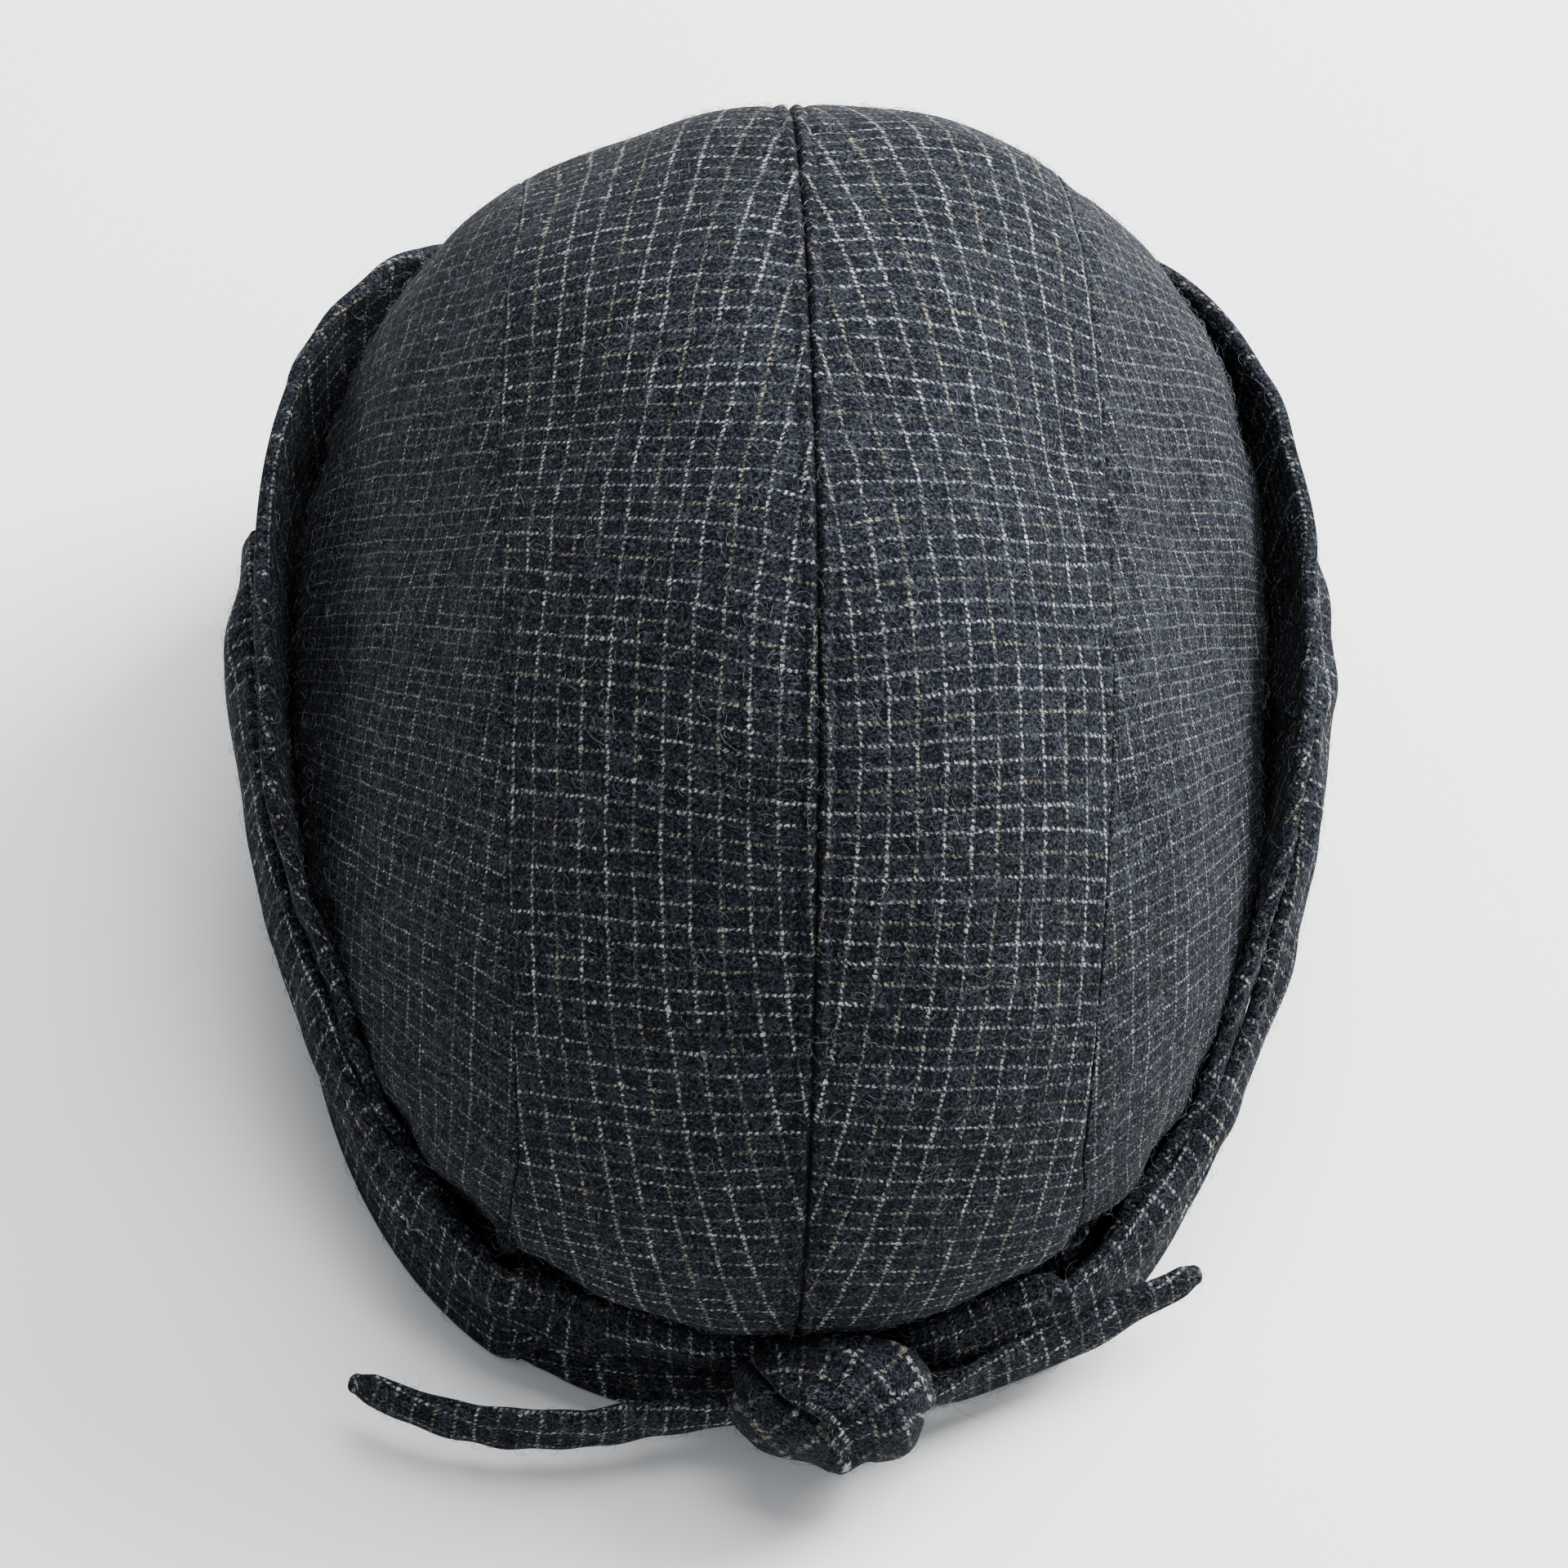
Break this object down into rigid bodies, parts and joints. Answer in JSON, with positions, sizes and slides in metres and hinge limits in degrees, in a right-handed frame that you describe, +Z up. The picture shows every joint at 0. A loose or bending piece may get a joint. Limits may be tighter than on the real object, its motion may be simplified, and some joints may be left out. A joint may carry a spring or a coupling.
{
  "type": "deerstalker hat",
  "caption": "Deerstalker hat of dark navy checked wool with turned-up ear flaps, cloth ties knotted behind and a short front peak.",
  "frame": {"origin": "middle of the hat's bounding box, on the surface that the hat rests on", "axes": "+Z up, +Y towards the front peak, -Y towards the knot, +X to the wearer's right"},
  "size_m": [0.2018, 0.2726, 0.154],
  "materials": {
    "crown_cloth": "brushed checked wool, matt",
    "flap_cloth": "brushed checked wool, matt",
    "tie_cloth": "brushed checked wool, matt",
    "peak_cloth": "brushed checked wool, matt"
  },
  "bodies": {
    "root": {"crown_panel_centre_left": "crown_cloth", "crown_panel_centre_right": "crown_cloth", "crown_panel_side_left": "crown_cloth", "crown_panel_side_right": "crown_cloth", "ear_flap_left": "flap_cloth", "ear_flap_right": "flap_cloth", "tie_left": "tie_cloth", "tie_right": "tie_cloth", "tie_end_left": "tie_cloth", "tie_end_right": "tie_cloth", "knot": "tie_cloth", "front_peak": "peak_cloth"}
  },
  "joints": []
}
